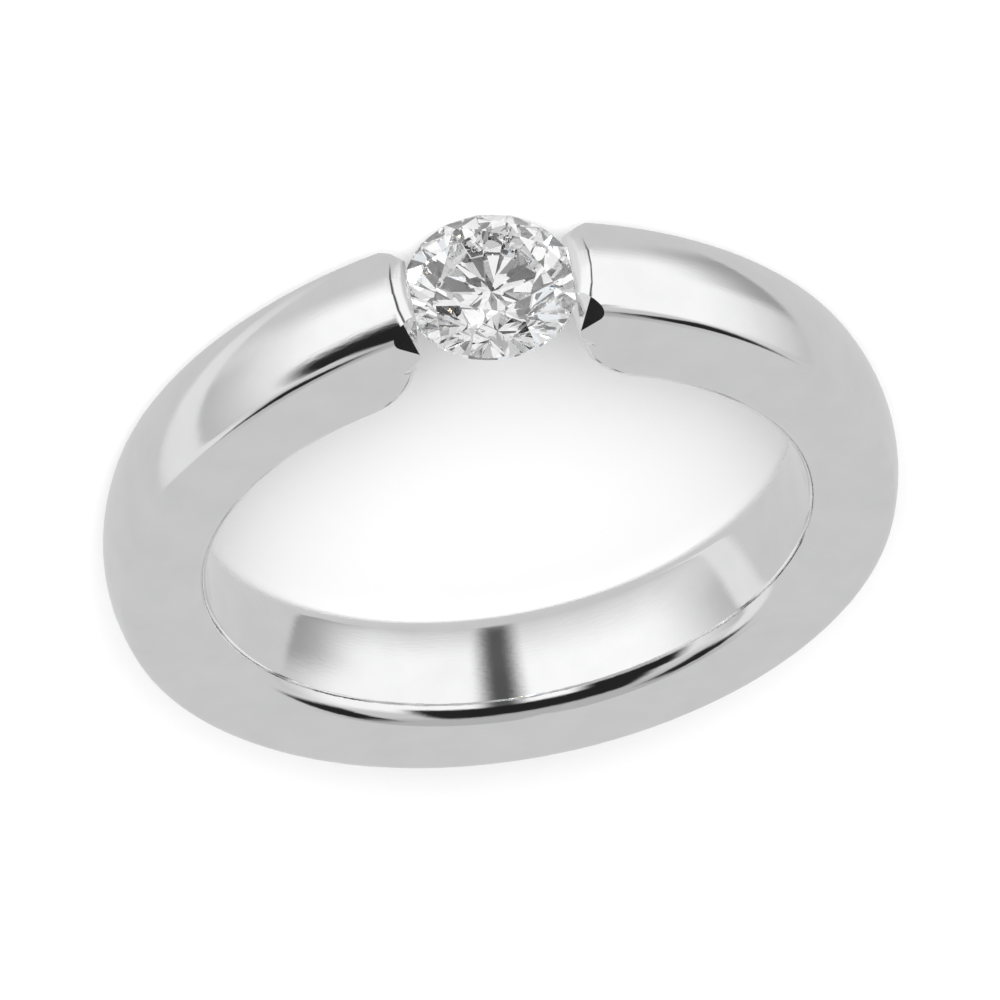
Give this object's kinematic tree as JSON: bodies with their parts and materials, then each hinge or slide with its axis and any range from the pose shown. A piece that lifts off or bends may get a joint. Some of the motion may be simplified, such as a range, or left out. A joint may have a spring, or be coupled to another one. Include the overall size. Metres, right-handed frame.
{
  "type": "tension set ring",
  "caption": "Tension set ring: a polished white metal band, open at the top, whose two bevelled ends pinch a round brilliant stone between them.",
  "frame": {"origin": "centre of the finger hole, at the middle of the band's width", "axes": "+Z along the finger's axis and up as the ring lies on its side, -Y towards the stone, +X across the two ends"},
  "size_m": [0.0228, 0.024, 0.0046],
  "materials": {
    "band_metal": "high polish white gold",
    "gem": "polished facets"
  },
  "bodies": {
    "root": {"band": "band_metal", "stone": "gem"}
  },
  "joints": []
}
